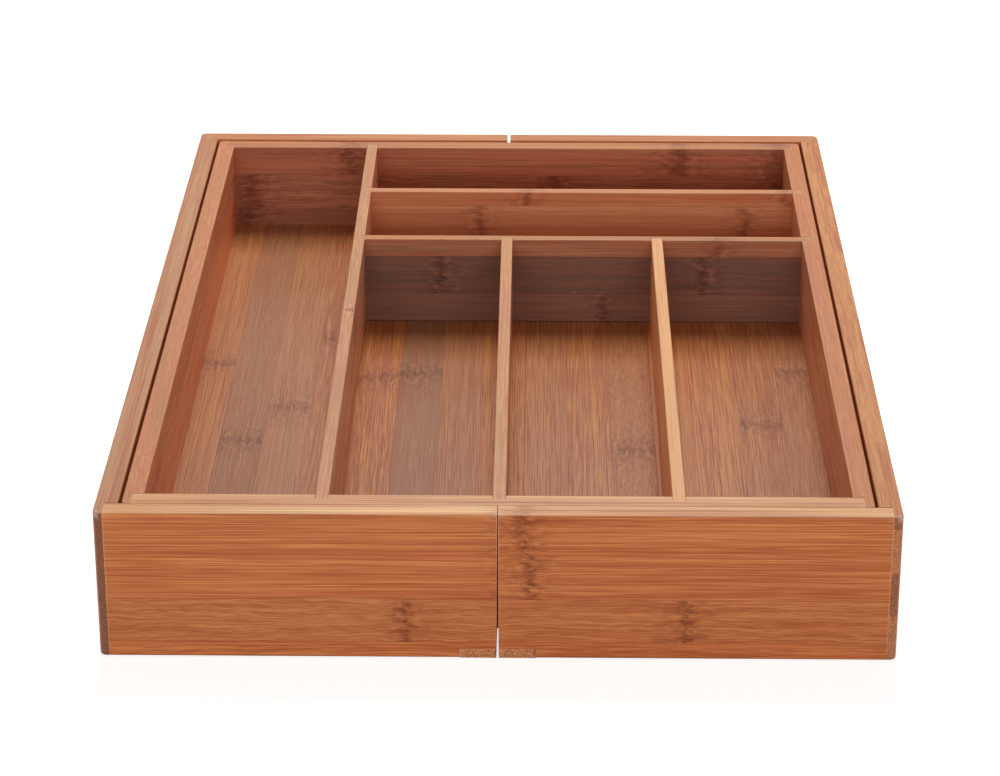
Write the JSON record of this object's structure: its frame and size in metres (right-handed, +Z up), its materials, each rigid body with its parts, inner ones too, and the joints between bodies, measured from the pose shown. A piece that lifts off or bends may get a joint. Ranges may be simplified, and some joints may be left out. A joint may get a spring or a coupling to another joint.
{
  "type": "cutlery tray",
  "caption": "Expandable bamboo cutlery tray: a divided inner tray in a sleeve whose left and right halves slide outwards to open a side compartment each.",
  "frame": {"origin": "middle of the underside of the closed tray", "axes": "+X across the width to the right, +Y from the front to the back, +Z up"},
  "size_m": [0.33, 0.455, 0.066],
  "materials": {
    "outer_bamboo": "satin clear lacquer",
    "tray_bamboo": "satin clear lacquer",
    "divider_bamboo": "satin clear lacquer",
    "floor_bamboo": "satin clear lacquer",
    "batten_bamboo": "satin clear lacquer",
    "runner_hardwood": "satin clear lacquer"
  },
  "bodies": {
    "tray": {"tray_front_wall": "tray_bamboo", "tray_back_wall": "tray_bamboo", "tray_left_wall": "tray_bamboo", "tray_right_wall": "tray_bamboo", "tray_floor": "floor_bamboo", "long_divider": "divider_bamboo", "rear_cross_divider": "divider_bamboo", "front_cross_divider": "divider_bamboo", "short_divider_left": "divider_bamboo", "short_divider_right": "divider_bamboo", "guide_runner_front_left": "runner_hardwood", "guide_runner_front_right": "runner_hardwood", "guide_runner_back_left": "runner_hardwood", "guide_runner_back_right": "runner_hardwood"},
    "left_half": {"left_side_panel": "outer_bamboo", "left_front_panel": "outer_bamboo", "left_back_panel": "outer_bamboo", "left_floor": "floor_bamboo", "left_tie_batten": "batten_bamboo"},
    "right_half": {"right_side_panel": "outer_bamboo", "right_front_panel": "outer_bamboo", "right_back_panel": "outer_bamboo", "right_floor": "floor_bamboo", "right_tie_batten": "batten_bamboo"}
  },
  "joints": [
    {"name": "left_slide", "type": "slide", "parent": "tray", "child": "left_half", "axis": [-1, 0, 0], "range_m": [0, 0.125]},
    {"name": "right_slide", "type": "slide", "parent": "tray", "child": "right_half", "axis": [1, 0, 0], "range_m": [0, 0.125]}
  ]
}
